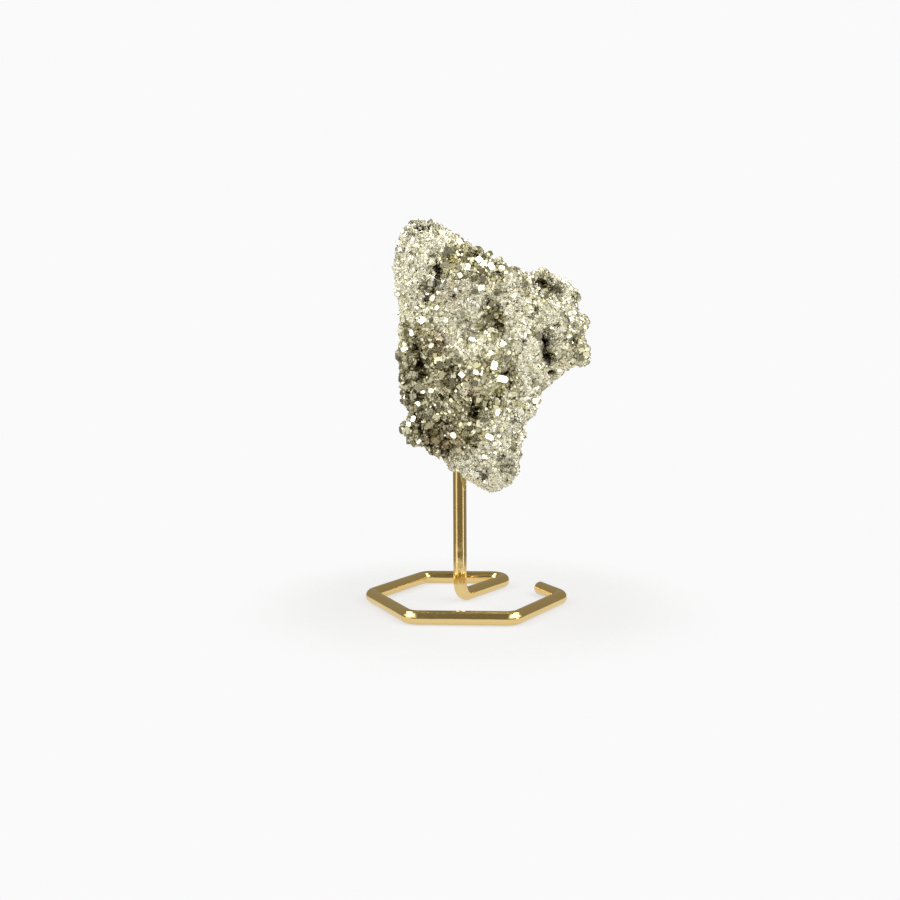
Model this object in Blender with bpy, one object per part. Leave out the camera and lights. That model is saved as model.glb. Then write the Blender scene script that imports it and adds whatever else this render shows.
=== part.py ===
"""A pyrite specimen on a stand bent from one brass-plated rod.

Metres, +Z up, standing on z = 0. The viewer's side is -Y. The origin is the middle of the object's
bounding box, at the bottom.

The stand is one rod: an open hexagonal foot, a spoke that runs in from one corner, and a post. The stone is
one lump of intergrown crystals with a hole drilled up into it for the post. It is roughed out from three
outlines, rounded, given lumps and pits, and then crystals with flat faces are joined to it.
"""

import math
import random

import bmesh
import bpy
from mathutils import Matrix, Vector, noise
from mathutils.bvhtree import BVHTree

MM = 0.001
SEED = 11

# The rod and its bends
ROD_DIAMETER = 6 * MM
ROD_SIDES = 16
ROD_RADIUS = ROD_DIAMETER / 2
CORNER_RADIUS = ROD_RADIUS / math.cos(math.pi / ROD_SIDES)  # its flats, not its corners, are at the rod's radius
BEND_RADIUS = 6 * MM  # to the rod's centre line
BEND_STEP = math.radians(15)
ROD_END_CHAMFER = 0.4 * MM

# The foot, the spoke and the post
FOOT_SIDE = 43.5 * MM  # a hexagon's side is also the distance from its middle to its corners
FOOT_MIDDLE = Vector((-4.1 * MM, 0, ROD_RADIUS))  # centre line height: the rod rests on the floor
LAST_SIDE_LEFT = 0.45  # how much of the sixth side there is, before the rod is cut off
POST = FOOT_MIDDLE + Vector((-2.6 * MM, 0, 0))  # where the spoke turns up into the post
POST_TOP = 81 * MM

# The hole drilled in the stone
GAP = 0.3 * MM
SOCKET_RADIUS = CORNER_RADIUS + GAP
SOCKET_SIDES = 16
SOCKET_MOUTH = 50 * MM  # below the stone, so that the drill leaves nothing in front of the hole

# The stone's outlines in millimetres. X is measured from the post, Y from the post, and Z from the floor.
FRONT_OUTLINE = [  # x, z
    (-24, 167), (-18, 170), (-10, 169), (-5, 164), (12, 155), (20, 150), (45, 146),  # crown and sloping top
    (51, 134), (52, 128), (54, 120), (56, 108), (42, 103), (35, 98), (33, 87), (27, 82),  # right bulge and waist
    (28, 71), (24, 58), (14, 51), (7, 54), (-4, 64), (-13, 69), (-22, 71),  # toe and lower slope
    (-24, 78), (-22, 87), (-25, 93), (-25, 130), (-27, 145), (-26, 160),  # left side
]
SIDE_OUTLINE = [  # y, z
    (-6, 47), (-13, 60), (-18, 80), (-20, 100), (-19, 125), (-16, 148), (-11, 165), (-4, 173),
    (6, 173), (12, 163), (16, 146), (19, 124), (19, 102), (16, 82), (11, 62), (7, 47),
]
TOP_OUTLINE = [  # x, y
    (-31, -10), (-26, -17), (-8, -21), (14, -21), (32, -16), (48, -11), (59, -4),
    (59, 6), (48, 12), (30, 17), (8, 20), (-13, 20), (-26, 16), (-31, 8),
]
OUTLINE_REACH = 200 * MM  # longer than the stone
STONE_MIDDLE = (8, 0, 110)

# Lumps that stand out of the block: middle, and half its width, depth and height, in millimetres
LUMPS = [
    ((-16, -10, 150), (10, 14, 19)),  # crown lobe
    ((-17, 4, 122), (10, 17, 16)),  # left flank
    ((6, -10, 138), (14, 14, 16)),  # shoulder under the sloping top
    ((8, -11, 108), (15, 15, 18)),  # coarse middle
    ((29, -8, 116), (8, 15, 31)),  # smooth rib right of the middle
    ((45, -3, 124), (11, 14, 18)),  # right bulge
    ((37, -8, 130), (8, 13, 7)),  # between the rib and the bulge
    ((-12, -8, 92), (12, 14, 16)),  # lower left
    ((2, -8, 79), (12, 13, 11)),  # under the middle
    ((15, -3, 66), (11, 13, 15)),  # toe
    ((-4, 10, 142), (18, 13, 20)),  # back of the crown
    ((34, 8, 130), (16, 13, 14)),  # back of the right bulge
    ((12, 11, 102), (18, 14, 24)),  # back of the middle
    ((-13, 9, 96), (11, 13, 17)),  # lower left of the back
    ((13, 6, 68), (11, 11, 13)),  # back of the toe
]
VOXEL = 1.3 * MM
ROUNDING_PASSES = 5
RELIEF = [(16, 2.6), (8, 1.8), (4, 0.9)]  # wavelength and height of the unevenness, in millimetres

# Pits and clefts on the viewer's side: x, z, radius and depth in millimetres
FRONT_PITS = [
    (-9, 153, 3.5, 7), (-10, 147, 3.5, 7), (-13, 140, 3.5, 6), (-16, 135, 3.0, 5),  # cleft beside the crown
    (38, 118, 4.5, 9), (40, 111, 4.0, 7), (33, 122, 2.5, 4),  # deep pit beside the right bulge
    (36, 142, 4.0, 5), (42, 139, 3.5, 5), (49, 118, 3.0, 4),
    (-18, 115, 4.0, 6), (-16, 108, 3.5, 6), (-15, 103, 3.0, 5),  # cleft at the left
    (17, 138, 3.5, 4), (18, 131, 3.0, 4), (18, 124, 3.0, 4),  # trough between the middle and the rib
    (22, 100, 3.0, 5), (6, 88, 4.5, 6), (1, 91, 3.5, 5), (19, 150, 2.5, 3),
    (-20, 86, 4.0, 4), (11, 59, 3.0, 4), (-15, 165, 3.0, 3), (41, 103, 3.0, 4),
]
OTHER_PITS = 44
OTHER_PIT_RADIUS = (3.0, 6.0)
OTHER_PIT_DEPTH = (2.5, 6.0)
BODY_TRIANGLES = 2700

# Crystals: x, z, size across in millimetres, for the large ones on the viewer's side
FRONT_CRYSTALS = [
    (18, 100, 5.5), (15, 106, 4.5), (13, 102, 4.5), (14, 95, 4.5), (10, 82, 6.0), (16, 91, 4.0),
    (-5, 157, 4.5), (1, 158, 4.0), (9, 152, 4.5), (12, 150, 4.0), (30, 141, 4.5), (-16, 135, 4.0),
    (-18, 126, 4.5), (-24, 114, 4.0), (-22, 108, 4.0), (-20, 97, 4.5), (-12, 96, 4.5), (-8, 76, 5.0),
    (6, 128, 4.0), (0, 112, 5.0), (-6, 104, 4.5), (4, 98, 4.5), (26, 70, 4.0), (24, 60, 4.0),
]
CRYSTAL_FORMS = ["cube"] * 5 + ["octahedron"] * 4 + ["cut cube"]
OTHER_CRYSTALS = 135
CRYSTAL_SIZE = (3.2, 6.5)
CRYSTAL_SUNK = 0.05  # how far a crystal's middle lies under the surface, as a share of its size


def clear_scene():
    for obj in list(bpy.data.objects):
        bpy.data.objects.remove(obj)


def add_object(name, bm):
    """Closes the bmesh and returns it as a new object."""
    mesh = bpy.data.meshes.new(name)
    bm.to_mesh(mesh)
    bm.free()
    obj = bpy.data.objects.new(name, mesh)
    bpy.context.scene.collection.objects.link(obj)
    return obj


def metal(name, colour, roughness):
    material = bpy.data.materials.new(name)
    material.use_nodes = True
    shader = material.node_tree.nodes["Principled BSDF"]
    shader.inputs["Base Color"].default_value = (*colour, 1)
    shader.inputs["Metallic"].default_value = 1
    shader.inputs["Roughness"].default_value = roughness
    return material


def settle(obj):
    """Replaces the object's mesh with what its modifiers make of it."""
    bpy.context.view_layer.update()
    evaluated = obj.evaluated_get(bpy.context.evaluated_depsgraph_get())
    mesh = bpy.data.meshes.new_from_object(evaluated)
    obj.modifiers.clear()
    obj.data = mesh


def combine(obj, other, operation, solver="EXACT"):
    """Joins, cuts or crosses obj with another object, which is used up."""
    modifier = obj.modifiers.new(operation.lower(), "BOOLEAN")
    modifier.operation = operation
    modifier.object = other
    modifier.solver = solver
    settle(obj)
    bpy.data.objects.remove(other)


# --- the stand ---------------------------------------------------------------------------------------------


def foot_corner(degrees):
    """A corner of the foot's centre line, at an angle from +X seen from above."""
    angle = math.radians(degrees)
    return FOOT_MIDDLE + FOOT_SIDE * Vector((math.cos(angle), math.sin(angle), 0))


def rod_route():
    """The corners of the rod's centre line, from its cut end round the foot and up the post."""
    first, last = foot_corner(0), foot_corner(60)
    cut_end = first.lerp(last, LAST_SIDE_LEFT)
    corners = [foot_corner(degrees) for degrees in (0, -60, -120, 180, 120, 60)]
    top = Vector((POST.x, POST.y, POST_TOP))
    return [cut_end, *corners, POST, top]


def ring_verts(edges):
    return list({vert for edge in edges for vert in edge.verts})


def feed(bm, ring, step):
    """Extrudes the open ring of edges along step and returns the new ring."""
    made = bmesh.ops.extrude_edge_only(bm, edges=ring)["geom"]
    new_ring = [item for item in made if isinstance(item, bmesh.types.BMEdge) and item.is_boundary]
    bmesh.ops.translate(bm, vec=step, verts=ring_verts(new_ring))
    return new_ring


def bend(bm, ring, centre, axis, angle):
    """Spins the open ring of edges about a bend's centre and returns the new ring."""
    steps = round(angle / BEND_STEP)
    spun = bmesh.ops.spin(
        bm, geom=ring_verts(ring) + ring, cent=centre, axis=axis, angle=angle, steps=steps, use_duplicate=False
    )
    return [item for item in spun["geom_last"] if isinstance(item, bmesh.types.BMEdge)]


def first_ring(bm, place, heading):
    """The rod's cut end: a ring across the heading, with a flat of the rod underneath."""
    up = Vector((0, 0, 1))
    side = up.cross(heading)
    turn = Matrix((side, up, heading)).transposed().to_4x4()
    half_side = Matrix.Rotation(math.pi / ROD_SIDES, 4, "Z")
    matrix = Matrix.Translation(place) @ turn @ half_side
    circle = bmesh.ops.create_circle(bm, segments=ROD_SIDES, radius=CORNER_RADIUS, matrix=matrix)
    return list({edge for vert in circle["verts"] for edge in vert.link_edges})


def bent_rod(route):
    """A solid rod along straight runs, with a round bend at each corner of the route."""
    bm = bmesh.new()
    here = route[0]
    heading = (route[1] - here).normalized()
    ring = first_ring(bm, here, heading)
    ends = [ring]
    for corner, after in zip(route[1:-1], route[2:]):
        turned = (after - corner).normalized()
        angle = heading.angle(turned)
        tangent = BEND_RADIUS * math.tan(angle / 2)
        start = corner - tangent * heading
        ring = feed(bm, ring, start - here)
        axis = heading.cross(turned).normalized()
        centre = start + BEND_RADIUS * axis.cross(heading)
        ring = bend(bm, ring, centre, axis, angle)
        here = corner + tangent * turned
        heading = turned
    ends.append(feed(bm, ring, route[-1] - here))
    for rim in ends:
        bmesh.ops.contextual_create(bm, geom=rim)
    bmesh.ops.recalc_face_normals(bm, faces=bm.faces)
    rims = [edge for rim in ends for edge in rim]
    bmesh.ops.bevel(
        bm, geom=rims, offset=ROD_END_CHAMFER, segments=1, profile=0.5, affect="EDGES", material=-1
    )
    return bm


def make_stand():
    stand = add_object("stand", bent_rod(rod_route()))
    stand.data.materials.append(metal("polished brass plating", (0.78, 0.55, 0.22), 0.12))
    stand.data.shade_smooth()
    stand.data.set_sharp_from_angle(angle=math.radians(35))
    return stand


# --- the stone ---------------------------------------------------------------------------------------------


def stone_point(x, y, z):
    """A place on the stone in millimetres, measured from the post and the floor, as a point in metres."""
    return Vector((x, y, z)) * MM


def outline_block(name, corners, along):
    """A block that shows the outline when it is looked at along one axis."""
    bm = bmesh.new()
    face = bm.faces.new([bm.verts.new(corner) for corner in corners])
    made = bmesh.ops.extrude_face_region(bm, geom=[face])["geom"]
    far_verts = [item for item in made if isinstance(item, bmesh.types.BMVert)]
    bmesh.ops.translate(bm, vec=along * OUTLINE_REACH, verts=far_verts)
    bmesh.ops.translate(bm, vec=-along * OUTLINE_REACH / 2, verts=bm.verts)
    bmesh.ops.recalc_face_normals(bm, faces=bm.faces)
    return add_object(name, bm)


def rough_block():
    """The stone's block, where the front, side and top outlines cross."""
    middle_x, middle_y, middle_z = STONE_MIDDLE
    front = outline_block("pyrite", [stone_point(x, middle_y, z) for x, z in FRONT_OUTLINE], Vector((0, 1, 0)))
    side = outline_block("side", [stone_point(middle_x, y, z) for y, z in SIDE_OUTLINE], Vector((1, 0, 0)))
    top = outline_block("top", [stone_point(x, y, middle_z) for x, y in TOP_OUTLINE], Vector((0, 0, 1)))
    combine(front, side, "INTERSECT")
    combine(front, top, "INTERSECT")
    return front


def add_lumps(stone):
    bm = bmesh.new()
    bm.from_mesh(stone.data)
    for middle, half_sizes in LUMPS:
        matrix = Matrix.Translation(stone_point(*middle)) @ Matrix.Diagonal((*half_sizes, 1))
        bmesh.ops.create_icosphere(bm, subdivisions=3, radius=MM, matrix=matrix)
    bm.to_mesh(stone.data)
    bm.free()


def round_off(stone):
    """Melts the block and its lumps into one skin with rounded edges."""
    remesh = stone.modifiers.new("skin", "REMESH")
    remesh.mode = "VOXEL"
    remesh.voxel_size = VOXEL
    smooth = stone.modifiers.new("rounding", "SMOOTH")
    smooth.iterations = ROUNDING_PASSES
    settle(stone)


def facing_hit(tree, x, z):
    """Where a line of sight along +Y first meets the stone, and the surface's direction there."""
    place, normal, _, _ = tree.ray_cast(stone_point(x, -OUTLINE_REACH / MM, z), Vector((0, 1, 0)))
    return place, normal


def random_faces(bm, count, chance):
    """Faces drawn by area, so that they spread evenly over the stone."""
    faces = list(bm.faces)
    return chance.choices(faces, weights=[face.calc_area() for face in faces], k=count)


def pit_list(bm, tree, chance):
    """Every pit: its middle on the surface, the direction out of it, its radius and its depth."""
    pits = []
    for x, z, radius, depth in FRONT_PITS:
        place, normal = facing_hit(tree, x, z)
        pits.append((place, normal, radius * MM, depth * MM))
    for face in random_faces(bm, OTHER_PITS, chance):
        radius = chance.uniform(*OTHER_PIT_RADIUS)
        depth = min(radius, chance.uniform(*OTHER_PIT_DEPTH))
        pits.append((face.calc_center_median(), face.normal.copy(), radius * MM, depth * MM))
    return pits


def shape_surface(stone, chance):
    """Makes the skin uneven, then pushes its pits in."""
    bm = bmesh.new()
    bm.from_mesh(stone.data)
    bm.normal_update()
    for vert in bm.verts:
        rise = sum(height * noise.noise(vert.co / (length * MM)) for length, height in RELIEF)
        vert.co += vert.normal * rise * MM
    bm.normal_update()
    pits = pit_list(bm, BVHTree.FromBMesh(bm), chance)
    for vert in bm.verts:
        for place, outward, radius, depth in pits:
            reach = (vert.co - place).length / radius
            if reach < 1:
                vert.co -= outward * depth * (1 - reach * reach) ** 2
    bm.to_mesh(stone.data)
    bm.free()


def simplify(stone):
    triangles = sum(len(polygon.vertices) - 2 for polygon in stone.data.polygons)
    decimate = stone.modifiers.new("fewer faces", "DECIMATE")
    decimate.ratio = BODY_TRIANGLES / triangles
    settle(stone)


def crystal(place, outward, size, chance):
    """A cube, a cube with its corners cut off or an octahedron, turned any way and sunk into the surface."""
    turn = Matrix.Rotation(chance.uniform(0, math.tau), 4, outward)
    tilt = Matrix.Rotation(chance.uniform(0, math.pi), 4, Vector((chance.gauss(0, 1), chance.gauss(0, 1), 1)))
    matrix = Matrix.Translation(place - outward * size * CRYSTAL_SUNK) @ turn @ tilt
    stretch = Matrix.Diagonal((1, chance.uniform(0.75, 1), chance.uniform(0.8, 1), 1))
    form = chance.choice(CRYSTAL_FORMS)
    bm = bmesh.new()
    if form == "octahedron":
        bmesh.ops.create_uvsphere(bm, u_segments=4, v_segments=2, radius=size * 0.66, matrix=matrix)
    else:
        bmesh.ops.create_cube(bm, size=size * 0.8, matrix=matrix @ stretch)
    if form == "cut cube":
        bmesh.ops.bevel(
            bm, geom=bm.verts[:], offset=size * 0.2, segments=1, profile=0.5, affect="VERTICES", material=-1
        )
    return add_object("crystal", bm)


def make_crystals(stone, chance):
    """The large crystals of the viewer's side at their places, and others all over."""
    skin = bmesh.new()
    skin.from_mesh(stone.data)
    skin.normal_update()
    tree = BVHTree.FromBMesh(skin)
    made = []
    for x, z, size in FRONT_CRYSTALS:
        place, normal = facing_hit(tree, x, z)
        made.append(crystal(place, normal, size * MM, chance))
    for face in random_faces(skin, OTHER_CRYSTALS, chance):
        size = chance.triangular(*CRYSTAL_SIZE, CRYSTAL_SIZE[0])
        made.append(crystal(face.calc_center_median(), face.normal, size * MM, chance))
    skin.free()
    return made


def make_drill():
    """What the drill takes out for the post, a gap wider and longer than the rod."""
    bm = bmesh.new()
    depth = POST_TOP + GAP - SOCKET_MOUTH
    middle = Matrix.Translation((0, 0, SOCKET_MOUTH + depth / 2))
    bmesh.ops.create_cone(
        bm, cap_ends=True, segments=SOCKET_SIDES, radius1=SOCKET_RADIUS, radius2=SOCKET_RADIUS, depth=depth,
        matrix=middle,
    )
    return add_object("drill", bm)


def shells(bm):
    """The mesh's separate shells, each a list of vertices."""
    left = set(bm.verts)
    found = []
    while left:
        shell = [left.pop()]
        for vert in shell:
            near = {edge.other_vert(vert) for edge in vert.link_edges} & left
            left -= near
            shell.extend(near)
        found.append(shell)
    return found


def drop_bubbles(stone):
    """Removes the small closed hollows that crystals shut in between them."""
    bm = bmesh.new()
    bm.from_mesh(stone.data)
    inner = sorted(shells(bm), key=len)[:-1]
    bmesh.ops.delete(bm, geom=[vert for shell in inner for vert in shell], context="VERTS")
    bm.to_mesh(stone.data)
    bm.free()


def make_pyrite():
    """The stone is made with the post's axis as its own Z axis, then put over the post."""
    chance = random.Random(SEED)
    stone = rough_block()
    add_lumps(stone)
    round_off(stone)
    shape_surface(stone, chance)
    simplify(stone)
    for grown in make_crystals(stone, chance):
        combine(stone, grown, "UNION", solver="MANIFOLD")  # the exact solver leaves faces that touch
    drop_bubbles(stone)
    combine(stone, make_drill(), "DIFFERENCE")
    stone.location = (POST.x, POST.y, 0)
    stone.data.materials.clear()
    stone.data.materials.append(metal("pyrite", (0.53, 0.48, 0.34), 0.3))
    return stone


clear_scene()
make_stand()
make_pyrite()
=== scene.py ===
# %% [markdown]
# # A pyrite specimen on a bent brass-plated stand
# Pyrite is iron sulphide. This specimen is a druse: a lump whose whole skin is small crystals grown into
# each other, from grains like coarse sugar to crystals as large as a lentil. It sits on a stand bent from
# one rod. The solids are already at their real size, so this file only dresses them: it gives the lump
# its crystals and the rod its polish, and sets up a plain studio to look at them in.

import math
import random

import bmesh
import bpy
from mathutils import Matrix, Vector, noise
from mathutils.bvhtree import BVHTree


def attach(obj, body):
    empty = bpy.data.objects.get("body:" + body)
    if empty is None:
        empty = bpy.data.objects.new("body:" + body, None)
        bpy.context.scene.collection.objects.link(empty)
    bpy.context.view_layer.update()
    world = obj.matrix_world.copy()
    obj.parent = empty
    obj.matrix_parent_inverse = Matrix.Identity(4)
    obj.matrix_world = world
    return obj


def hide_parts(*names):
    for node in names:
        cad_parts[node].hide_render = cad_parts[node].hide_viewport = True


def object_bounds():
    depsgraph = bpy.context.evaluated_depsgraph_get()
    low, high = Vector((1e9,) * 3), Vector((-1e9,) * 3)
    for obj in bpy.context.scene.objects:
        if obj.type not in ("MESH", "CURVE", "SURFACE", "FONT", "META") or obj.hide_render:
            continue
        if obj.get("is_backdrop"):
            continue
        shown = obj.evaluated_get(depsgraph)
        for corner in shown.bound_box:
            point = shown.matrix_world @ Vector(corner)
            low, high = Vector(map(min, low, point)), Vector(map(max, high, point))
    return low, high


MM = 0.001

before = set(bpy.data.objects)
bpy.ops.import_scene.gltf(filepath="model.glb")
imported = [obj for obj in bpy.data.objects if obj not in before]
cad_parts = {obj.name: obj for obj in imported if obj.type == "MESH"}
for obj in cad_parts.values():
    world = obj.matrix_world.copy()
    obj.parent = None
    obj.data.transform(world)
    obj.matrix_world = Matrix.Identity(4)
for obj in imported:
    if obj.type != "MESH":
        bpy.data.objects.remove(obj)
cad_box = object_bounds()

# %% [markdown]
# ## The camera
# The specimen is looked at from straight in front, a little above the middle of the lump, from near
# enough that its nearer parts look larger. The place of the eye is a named value, because the spots on
# the front of the lump are given further down as they are seen from there. The camera turns about its
# three axes one after the other, so the matrix is a product of a move and three turns, which is easier to
# follow than Euler angles.

# %% The camera
EYE = Vector((15.1 * MM, -444 * MM, 113.3 * MM))
TURNED_LEFT = 3.36  # degrees from +Y
LOOKING_DOWN = 5.636
LEANING = -0.309
LENS = 40  # mm, on a sensor 36 mm wide
SENSOR = 36

camera_data = bpy.data.cameras.new("camera")
camera_data.lens = LENS
camera_data.sensor_width = SENSOR
camera_data.clip_start = 10 * MM
camera = bpy.data.objects.new("camera", camera_data)
bpy.context.scene.collection.objects.link(camera)
camera.matrix_world = (
    Matrix.Translation(EYE)
    @ Matrix.Rotation(math.radians(TURNED_LEFT), 4, "Z")
    @ Matrix.Rotation(math.radians(90 - LOOKING_DOWN), 4, "X")
    @ Matrix.Rotation(math.radians(LEANING), 4, "Z")
)
bpy.context.scene.camera = camera
bpy.context.scene.view_settings.view_transform = "Standard"
print("the eye is", round(EYE.length / MM), "mm from the origin")

# %% [markdown]
# ## Helpers
# Colours are picked as sRGB hex values, as a colour picker shows them. Blender mixes light in linear
# values, so one function turns a hex value into linear red, green and blue. A second one adds a node to a
# material, the world or a geometry tree and links it in the same call, which keeps the node trees short
# enough to read.


# %% Colour and node helpers
def linear(hex_colour):
    """An sRGB hex colour such as "DCD6B2" as linear red, green, blue and alpha."""
    channels = [int(hex_colour[place:place + 2], 16) / 255 for place in (0, 2, 4)]
    return (*(c / 12.92 if c <= 0.04045 else ((c + 0.055) / 1.055) ** 2.4 for c in channels), 1)


def add_node(tree, kind, inputs=None, **settings):
    """Adds a node, sets its settings, and fills its inputs with values or with links from other sockets."""
    made = tree.nodes.new(kind)
    for name, value in settings.items():
        setattr(made, name, value)
    for name, value in (inputs or {}).items():
        if isinstance(value, bpy.types.NodeSocket):
            tree.links.new(value, made.inputs[name])
        else:
            made.inputs[name].default_value = value
    return made


print("half-way grey is", round(linear("808080")[0], 3), "in linear light")


# %% Object helpers
def add_object(name, bm):
    """Closes the bmesh and returns it as a new object at the origin."""
    mesh = bpy.data.meshes.new(name)
    bm.to_mesh(mesh)
    bm.free()
    made = bpy.data.objects.new(name, mesh)
    bpy.context.scene.collection.objects.link(made)
    return made


def settle(obj):
    """Replaces the object's mesh with what its modifiers make of it."""
    bpy.context.view_layer.update()
    evaluated = obj.evaluated_get(bpy.context.evaluated_depsgraph_get())
    mesh = bpy.data.meshes.new_from_object(evaluated)
    obj.modifiers.clear()
    obj.data = mesh


def triangles(obj):
    """How many triangles the object's mesh has."""
    return sum(len(polygon.vertices) - 2 for polygon in obj.data.polygons)


print("the solids have", {name: triangles(obj) for name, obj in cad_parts.items()}, "triangles")

# %% [markdown]
# ## The stand
# The real stand is a round steel rod, bent and then plated. The solid has it with 16 sides. A polished
# rod shows every flat in its highlights, so here the same rod is swept again with many more sides and
# finer bends. A curve with a bevel depth would be quicker to write, but it thins out in tight bends.
# Instead a ring of edges is extruded along each straight run and spun about each bend's centre, as the
# bending machine does it.

# %% The rod's measures
ROD_RADIUS = 3 * MM
ROD_SIDES = 48
BEND_RADIUS = 6 * MM  # to the rod's centre line
BEND_STEP = math.radians(5)
END_ROUNDING = 0.4 * MM
FOOT_SIDE = 43.5 * MM
FOOT_MIDDLE = Vector((-4.1 * MM, 0, ROD_RADIUS))
LAST_SIDE_LEFT = 0.45  # how much of the foot's sixth side there is
POST = FOOT_MIDDLE + Vector((-2.6 * MM, 0, 0))
POST_TOP = 81 * MM


def foot_corner(degrees):
    """A corner of the foot's centre line, at an angle from +X seen from above."""
    angle = math.radians(degrees)
    return FOOT_MIDDLE + FOOT_SIDE * Vector((math.cos(angle), math.sin(angle), 0))


foot_corners = [foot_corner(degrees) for degrees in (0, -60, -120, 180, 120, 60)]
cut_end = foot_corners[0].lerp(foot_corners[-1], LAST_SIDE_LEFT)
rod_route = [cut_end, *foot_corners, POST, Vector((POST.x, POST.y, POST_TOP))]
print("the rod turns", len(rod_route) - 2, "corners")


# %% Steps of the sweep
def ring_verts(edges):
    """The ring's vertices, each once."""
    return list({vert: None for edge in edges for vert in edge.verts})


def feed(bm, ring, step):
    """Extrudes the open ring of edges along step and returns the new ring."""
    made = bmesh.ops.extrude_edge_only(bm, edges=ring)["geom"]
    new_ring = [item for item in made if isinstance(item, bmesh.types.BMEdge) and item.is_boundary]
    bmesh.ops.translate(bm, vec=step, verts=ring_verts(new_ring))
    return new_ring


def bend(bm, ring, centre, axis, angle):
    """Spins the open ring of edges about a bend's centre and returns the new ring."""
    turning = ring_verts(ring) + ring
    spun = bmesh.ops.spin(
        bm, geom=turning, cent=centre, axis=axis, angle=angle, steps=round(angle / BEND_STEP),
        use_duplicate=False,
    )
    return [item for item in spun["geom_last"] if isinstance(item, bmesh.types.BMEdge)]


def first_ring(bm, place, heading):
    """The rod's cut end: a ring of edges across the heading."""
    up = Vector((0, 0, 1))
    turn = Matrix((up.cross(heading), up, heading)).transposed().to_4x4()
    matrix = Matrix.Translation(place) @ turn
    circle = bmesh.ops.create_circle(bm, segments=ROD_SIDES, radius=ROD_RADIUS, matrix=matrix)
    return list({edge: None for vert in circle["verts"] for edge in vert.link_edges})


print("a right angle is bent in", round(math.radians(90) / BEND_STEP), "steps")


# %% The rod, swept
def swept_rod(route):
    """The rod along straight runs, with a round bend at each corner of the route."""
    bm = bmesh.new()
    here = route[0]
    heading = (route[1] - here).normalized()
    ring = first_ring(bm, here, heading)
    ends = [ring]
    for corner, after in zip(route[1:-1], route[2:]):
        turned = (after - corner).normalized()
        angle = heading.angle(turned)
        tangent = BEND_RADIUS * math.tan(angle / 2)
        start = corner - tangent * heading
        ring = feed(bm, ring, start - here)
        axis = heading.cross(turned).normalized()
        centre = start + BEND_RADIUS * axis.cross(heading)
        ring = bend(bm, ring, centre, axis, angle)
        here = corner + tangent * turned
        heading = turned
    ends.append(feed(bm, ring, route[-1] - here))
    for rim in ends:
        bmesh.ops.contextual_create(bm, geom=rim)
    bmesh.ops.recalc_face_normals(bm, faces=bm.faces)
    rims = [edge for rim in ends for edge in rim]
    bmesh.ops.bevel(bm, geom=rims, offset=END_ROUNDING, segments=3, profile=0.5, affect="EDGES", material=-1)
    return bm


SHARP = math.radians(40)  # faces that meet at less than this are shaded as one round surface
stand = add_object("stand_rod", swept_rod(rod_route))
stand.data.shade_smooth()
stand.data.set_sharp_from_angle(angle=SHARP)
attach(stand, "root")
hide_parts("stand")
print("stand rod triangles", triangles(stand))

# %% [markdown]
# ## Brass plating
# The rod is steel with a thin coat of brass, bent first and then polished and plated. The eye gets a
# clear yellow mirror that isn't quite even: the bending and the buffing leave slow waves, and the plating
# has small specks. A plain metal with a low roughness looks like a computer's gold, so two noises are
# added. One of 5 mm bends the reflections. One of 0.6 mm is worn into the roughness and pits the surface
# very slightly. The noises read Object coordinates in metres, so a helper turns a size in millimetres
# into a texture scale.


# %% Helpers for metals
def per_mm(size):
    """The texture scale at which a feature of the pattern is this many millimetres across."""
    return 1 / (size * MM)


def metal_material(name):
    """A new metal: the material, its node tree, its shader and the Object coordinates that patterns read."""
    material = bpy.data.materials.new(name)
    material.use_nodes = True
    tree = material.node_tree
    shader = tree.nodes["Principled BSDF"]
    shader.inputs["Metallic"].default_value = 1
    place = add_node(tree, "ShaderNodeTexCoord").outputs["Object"]
    return material, tree, shader, place


print("a pattern of 1 mm has the texture scale", round(per_mm(1)))

# %% Brass plating
BUFFING_WAVE = 5  # mm
PLATING_SPECK = 0.6
BRIGHT_ROUGHNESS, WORN_ROUGHNESS = 0.06, 0.22

brass, tree, shader, place = metal_material("polished brass plating")
waviness = add_node(
    tree, "ShaderNodeTexNoise", {"Vector": place, "Scale": per_mm(BUFFING_WAVE), "Detail": 1.0}
)
specks = add_node(
    tree, "ShaderNodeTexNoise", {"Vector": place, "Scale": per_mm(PLATING_SPECK), "Detail": 3.0}
)
rough = add_node(
    tree, "ShaderNodeMapRange",
    {"Value": specks.outputs["Fac"], "From Min": 0.45, "From Max": 0.75, "To Min": BRIGHT_ROUGHNESS,
     "To Max": WORN_ROUGHNESS},
)
wave = add_node(
    tree, "ShaderNodeBump", {"Height": waviness.outputs["Fac"], "Strength": 0.25, "Distance": 0.4 * MM}
)
pitted = add_node(
    tree, "ShaderNodeBump",
    {"Height": specks.outputs["Fac"], "Strength": 0.08, "Distance": 0.05 * MM,
     "Normal": wave.outputs["Normal"]},
)
shader.inputs["Base Color"].default_value = linear("E8CC8C")
tree.links.new(rough.outputs["Result"], shader.inputs["Roughness"])
tree.links.new(pitted.outputs["Normal"], shader.inputs["Normal"])
stand.data.materials.append(brass)
print(brass.name, "has", len(tree.nodes), "nodes")

# %% [markdown]
# ## The lump under the crystals
# The solid's own skin has too few faces to carry small crystals. A copy of it is melted into an even skin
# by a voxel remesh, which works on any closed shape and leaves faces of one size. The blocks that a
# remesh leaves are then softened.

# %% The even skin
SKIN_VOXEL = 0.9 * MM
SKIN_ROUNDING = 6  # passes of the smoothing
DOUBLES = 0.001 * MM


def merged_copy(name, node):
    """A new object with the node's faces joined at their shared corners."""
    bm = bmesh.new()
    bm.from_mesh(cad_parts[node].data)
    bmesh.ops.remove_doubles(bm, verts=bm.verts, dist=DOUBLES)
    return add_object(name, bm)


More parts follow.
